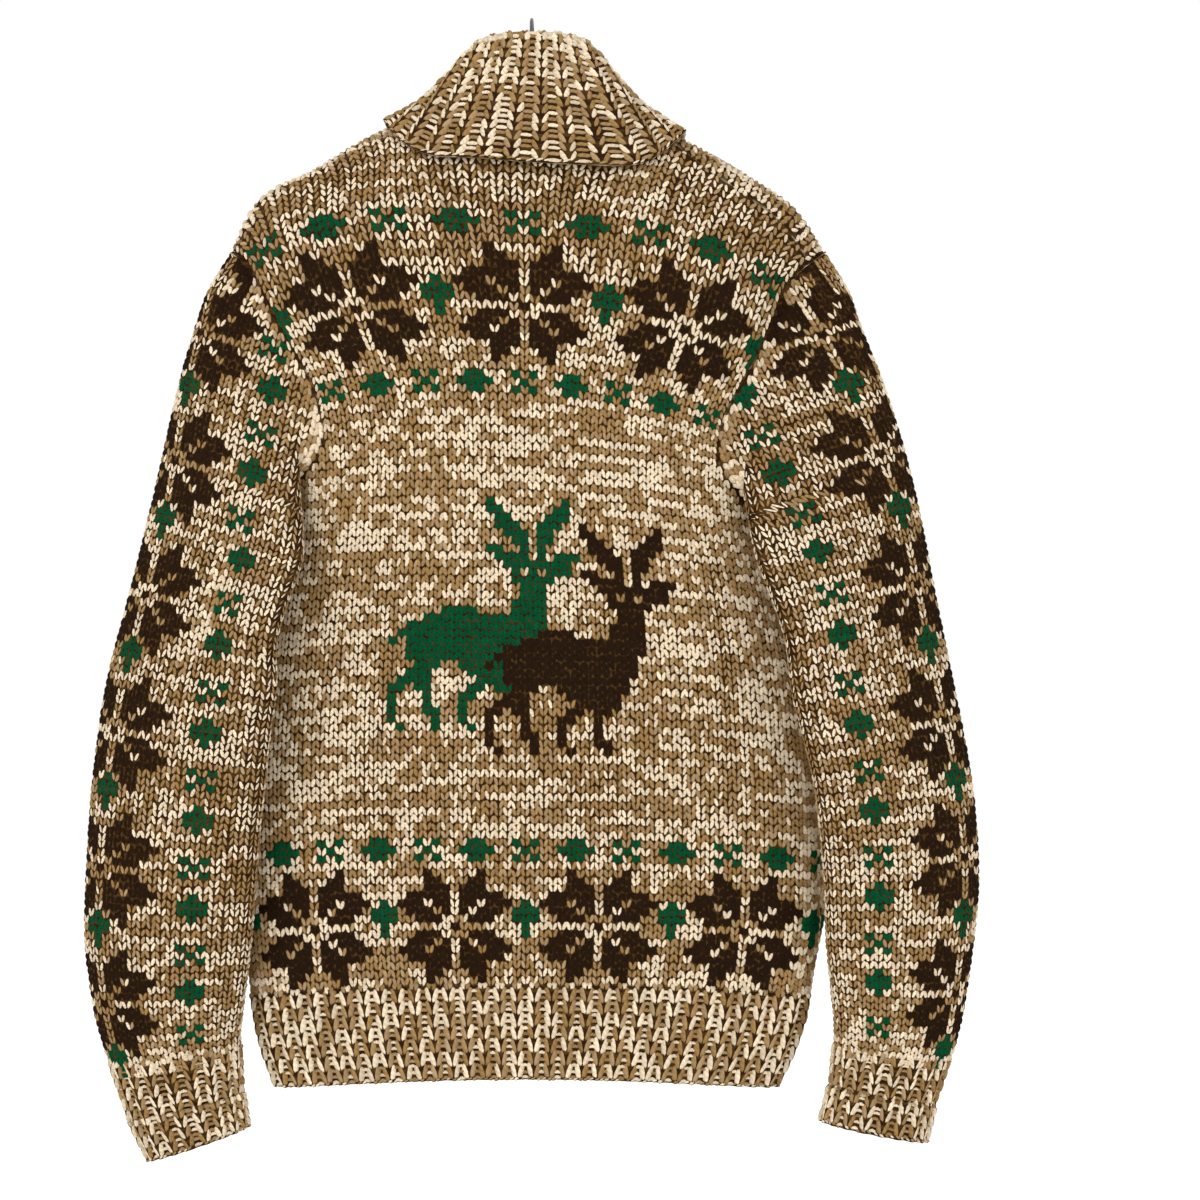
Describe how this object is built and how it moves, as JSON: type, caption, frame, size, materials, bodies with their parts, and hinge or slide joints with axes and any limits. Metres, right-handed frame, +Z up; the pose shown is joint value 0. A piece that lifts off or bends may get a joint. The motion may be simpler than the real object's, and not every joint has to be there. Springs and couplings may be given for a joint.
{
  "type": "cowichan sweater on a coat hanger",
  "caption": "Thick hand-knitted pullover with a ribbed shawl collar, patterned bands, set-in sleeves and ribbed hem and cuffs, hanging hollow on a hanger.",
  "frame": {"origin": "inside top of the hanger's hook, where a rod or wall peg holds it", "axes": "+Z up, -Y the wearer's back, +X the viewer's right when the back is seen"},
  "size_m": [0.6488, 0.165, 0.8332],
  "materials": {
    "knit": "matte bulky wool, stocking stitch",
    "rib": "matte bulky wool, ribbed",
    "wood": "satin varnish",
    "steel": "dark steel wire"
  },
  "bodies": {
    "root": {"back": "knit", "front": "knit", "back_hem_rib": "rib", "front_hem_rib": "rib", "sleeve_left": "knit", "sleeve_right": "knit", "cuff_left": "rib", "cuff_right": "rib", "collar": "rib", "hanger": "wood", "hanger_hook": "steel"}
  },
  "joints": []
}
